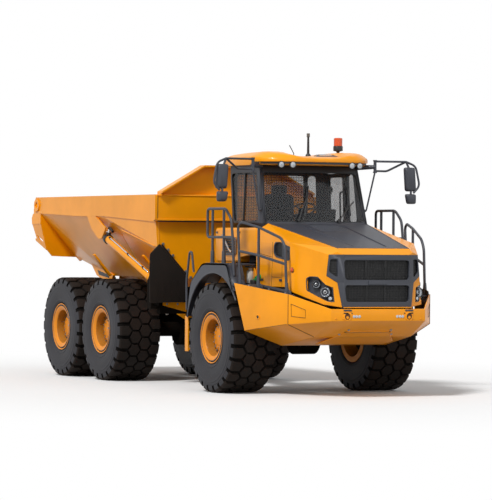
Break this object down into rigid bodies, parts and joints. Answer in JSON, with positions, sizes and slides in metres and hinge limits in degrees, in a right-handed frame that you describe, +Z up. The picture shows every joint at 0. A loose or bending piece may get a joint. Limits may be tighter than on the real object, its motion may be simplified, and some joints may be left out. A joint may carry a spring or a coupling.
{
  "type": "articulated dump truck",
  "caption": "Articulated dump truck: hinged front and rear frames, cab, hood, tipping load body and big treaded wheels.",
  "frame": {"origin": "on the ground below the middle of the whole machine", "axes": "+X forward, +Y to the machine's left, +Z up"},
  "size_m": [9.996, 3.4346, 3.8606],
  "materials": {
    "yellow_paint": "semi-gloss orange yellow body paint",
    "dark_paint": "satin dark grey trim paint",
    "frame_paint": "satin black frame paint",
    "tyre_rubber": "black tyre rubber",
    "flap_rubber": "black rubber sheet",
    "polished_rod": "hard chromed piston rod",
    "window_glass": "lightly tinted glass",
    "lamp_lens": "clear lamp lenses in dark housings",
    "amber_plastic": "amber beacon",
    "cab_plastic": "dark interior plastic",
    "mesh_black": "black grille mesh",
    "engine_iron": "grey engine casting"
  },
  "bodies": {
    "front_frame": {"front_chassis": "frame_paint", "front_axle": "frame_paint", "front_suspension": "frame_paint", "engine": "engine_iron", "radiator": "mesh_black", "bumper": "yellow_paint", "side_decks": "dark_paint", "fenders": "dark_paint", "cab_base": "frame_paint", "cab_shell": "dark_paint", "cab_glass": "window_glass", "cab_roof": "yellow_paint", "cab_pod": "yellow_paint", "seat": "cab_plastic", "dashboard": "cab_plastic", "deck_rails": "dark_paint", "steps": "yellow_paint", "mirrors": "dark_paint", "work_lamps": "lamp_lens", "beacon_and_aerial": "amber_plastic"},
    "cab_door": {"cab_door": "dark_paint", "door_glass": "window_glass"},
    "hood": {"hood_shell": "yellow_paint", "hood_top_panel": "dark_paint", "grille_frame": "dark_paint", "grille_mesh": "mesh_black", "headlamps": "lamp_lens", "hood_vents": "dark_paint"},
    "hitch_yoke": {"hitch_yoke": "frame_paint"},
    "rear_frame": {"rear_chassis": "frame_paint", "rear_axles": "frame_paint", "walking_beams": "frame_paint"},
    "dump_body": {"bin_floor": "yellow_paint", "bin_front_wall": "yellow_paint", "bin_side_left": "yellow_paint", "bin_side_right": "yellow_paint", "mud_flaps": "flap_rubber"},
    "tip_barrel_left": {"tip_barrel_left": "yellow_paint"},
    "tip_rod_left": {"tip_rod_left": "polished_rod"},
    "tip_barrel_right": {"tip_barrel_right": "yellow_paint"},
    "tip_rod_right": {"tip_rod_right": "polished_rod"},
    "steer_barrel_left": {"steer_barrel_left": "frame_paint"},
    "steer_rod_left": {"steer_rod_left": "polished_rod"},
    "steer_barrel_right": {"steer_barrel_right": "frame_paint"},
    "steer_rod_right": {"steer_rod_right": "polished_rod"},
    "front_left_wheel": {"front_left_tyre": "tyre_rubber", "front_left_rim": "yellow_paint"},
    "front_right_wheel": {"front_right_tyre": "tyre_rubber", "front_right_rim": "yellow_paint"},
    "middle_left_wheel": {"middle_left_tyre": "tyre_rubber", "middle_left_rim": "yellow_paint"},
    "middle_right_wheel": {"middle_right_tyre": "tyre_rubber", "middle_right_rim": "yellow_paint"},
    "rear_left_wheel": {"rear_left_tyre": "tyre_rubber", "rear_left_rim": "yellow_paint"},
    "rear_right_wheel": {"rear_right_tyre": "tyre_rubber", "rear_right_rim": "yellow_paint"}
  },
  "joints": [
    {"name": "hitch_yaw", "type": "hinge", "parent": "front_frame", "child": "hitch_yoke", "pos_m": [1.2405, 0, 1.137], "axis": [0, 0, 1], "range_deg": [-42, 42]},
    {"name": "hitch_roll", "type": "hinge", "parent": "hitch_yoke", "child": "rear_frame", "pos_m": [0.6025, 0, 1.137], "axis": [1, 0, 0], "range_deg": [-15, 15]},
    {"name": "dump_tip", "type": "hinge", "parent": "rear_frame", "child": "dump_body", "pos_m": [-3.5475, 0, 1.572], "axis": [0, -1, 0], "range_deg": [0, 70]},
    {"name": "hood_open", "type": "hinge", "parent": "front_frame", "child": "hood", "pos_m": [4.9275, 0, 1.29], "axis": [0, 1, 0], "range_deg": [0, 55]},
    {"name": "cab_door_swing", "type": "hinge", "parent": "front_frame", "child": "cab_door", "pos_m": [1.7675, 0.87, 2.072], "axis": [0, 0, 1], "range_deg": [0, 75]},
    {"name": "tip_barrel_swing_left", "type": "hinge", "parent": "rear_frame", "child": "tip_barrel_left", "pos_m": [-0.0175, 1.275, 1.607], "axis": [0, -1, 0], "range_deg": [-4.28, 0]},
    {"name": "tip_rod_slide_left", "type": "slide", "parent": "tip_barrel_left", "child": "tip_rod_left", "axis": [-0.9446, 0, 0.3282], "range_m": [0, 1.8897]},
    {"name": "tip_barrel_swing_right", "type": "hinge", "parent": "rear_frame", "child": "tip_barrel_right", "pos_m": [-0.0175, -1.275, 1.607], "axis": [0, -1, 0], "range_deg": [-4.28, 0]},
    {"name": "tip_rod_slide_right", "type": "slide", "parent": "tip_barrel_right", "child": "tip_rod_right", "axis": [-0.9446, 0, 0.3282], "range_m": [0, 1.8897]},
    {"name": "steer_barrel_swing_left", "type": "hinge", "parent": "front_frame", "child": "steer_barrel_left", "pos_m": [2.1525, 0.56, 1.142], "axis": [0, 0, 1], "range_deg": [-1.78, 1.78]},
    {"name": "steer_rod_slide_left", "type": "slide", "parent": "steer_barrel_left", "child": "steer_rod_left", "axis": [-0.9773, -0.2117, 0], "range_m": [-0.2407, 0.2407]},
    {"name": "steer_barrel_swing_right", "type": "hinge", "parent": "front_frame", "child": "steer_barrel_right", "pos_m": [2.1525, -0.56, 1.142], "axis": [0, 0, 1], "range_deg": [-1.78, 1.78]},
    {"name": "steer_rod_slide_right", "type": "slide", "parent": "steer_barrel_right", "child": "steer_rod_right", "axis": [-0.9773, 0.2117, 0], "range_m": [-0.2407, 0.2407]},
    {"name": "front_left_wheel_spin", "type": "hinge", "parent": "front_frame", "child": "front_left_wheel", "pos_m": [2.6025, 1.161, 0.807], "axis": [0, 1, 0], "continuous": true},
    {"name": "front_right_wheel_spin", "type": "hinge", "parent": "front_frame", "child": "front_right_wheel", "pos_m": [2.6025, -1.161, 0.807], "axis": [0, 1, 0], "continuous": true},
    {"name": "middle_left_wheel_spin", "type": "hinge", "parent": "rear_frame", "child": "middle_left_wheel", "pos_m": [-1.5785, 1.161, 0.807], "axis": [0, 1, 0], "continuous": true},
    {"name": "middle_right_wheel_spin", "type": "hinge", "parent": "rear_frame", "child": "middle_right_wheel", "pos_m": [-1.5785, -1.161, 0.807], "axis": [0, 1, 0], "continuous": true},
    {"name": "rear_left_wheel_spin", "type": "hinge", "parent": "rear_frame", "child": "rear_left_wheel", "pos_m": [-3.2485, 1.161, 0.807], "axis": [0, 1, 0], "continuous": true},
    {"name": "rear_right_wheel_spin", "type": "hinge", "parent": "rear_frame", "child": "rear_right_wheel", "pos_m": [-3.2485, -1.161, 0.807], "axis": [0, 1, 0], "continuous": true}
  ],
  "couplings": [
    {"joint": "tip_barrel_swing_left", "follows": "dump_tip", "ratio": -0.05995},
    {"joint": "tip_rod_slide_left", "follows": "dump_tip", "m_per_rad": 1.5452},
    {"joint": "tip_barrel_swing_right", "follows": "dump_tip", "ratio": -0.05995},
    {"joint": "tip_rod_slide_right", "follows": "dump_tip", "m_per_rad": 1.5452},
    {"joint": "steer_barrel_swing_left", "follows": "hitch_yaw", "ratio": 0.04161},
    {"joint": "steer_rod_slide_left", "follows": "hitch_yaw", "m_per_rad": 0.32803},
    {"joint": "steer_barrel_swing_right", "follows": "hitch_yaw", "ratio": 0.04161},
    {"joint": "steer_rod_slide_right", "follows": "hitch_yaw", "m_per_rad": -0.32803}
  ]
}
